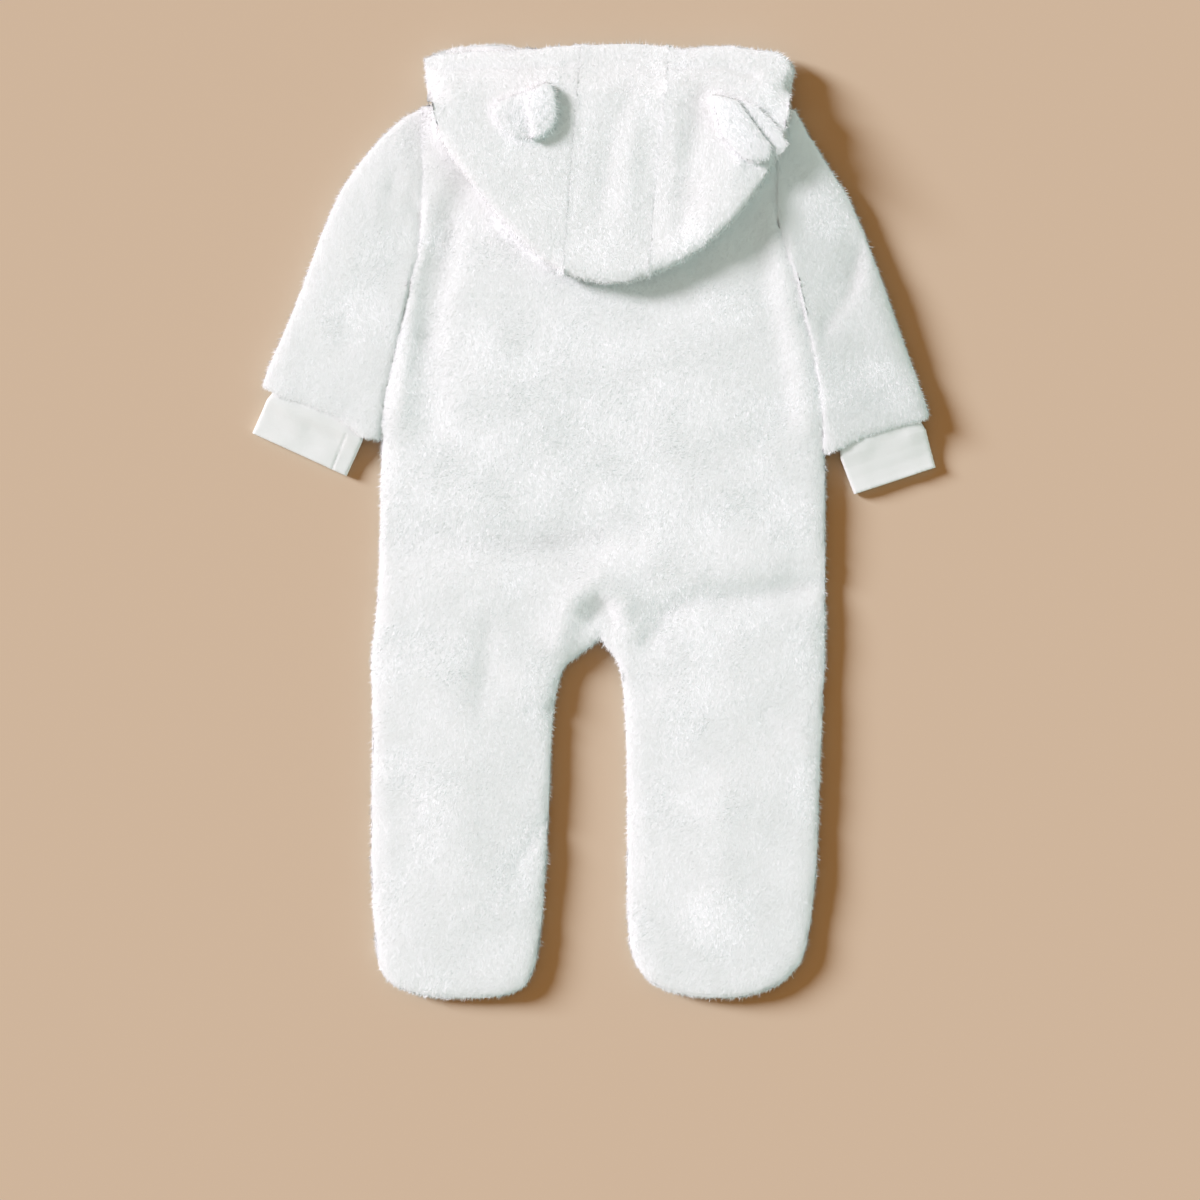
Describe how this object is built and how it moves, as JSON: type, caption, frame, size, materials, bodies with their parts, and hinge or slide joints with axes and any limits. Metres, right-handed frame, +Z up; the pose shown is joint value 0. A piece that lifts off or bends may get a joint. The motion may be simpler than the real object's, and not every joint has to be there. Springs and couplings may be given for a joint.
{
  "type": "footed baby sleepsuit",
  "caption": "Hooded, footed baby sleepsuit in white deep-pile fleece with jersey cuffs and small folded ears, lying flat on its front with the hood thrown back.",
  "frame": {"origin": "middle of the space the laid garment covers, on the surface it lies on", "axes": "+X across the garment to the wearer's right, +Y from the feet to the hood, +Z up from the surface, out of the garment's back"},
  "size_m": [0.451, 0.63, 0.0362],
  "materials": {
    "fleece": "matte",
    "jersey": "matte",
    "cap": "satin"
  },
  "bodies": {
    "root": {"back": "fleece", "front_left": "fleece", "front_right": "fleece", "sleeve_left": "fleece", "sleeve_right": "fleece", "cuff_left": "jersey", "cuff_right": "jersey", "hood_centre": "fleece", "hood_side_left": "fleece", "hood_side_right": "fleece", "hood_throat_left": "fleece", "hood_throat_right": "fleece", "ear_left": "fleece", "ear_right": "fleece", "placket": "jersey", "popper_1": "cap", "popper_2": "cap", "popper_3": "cap", "popper_4": "cap", "popper_5": "cap", "popper_6": "cap", "popper_7": "cap"}
  },
  "joints": []
}
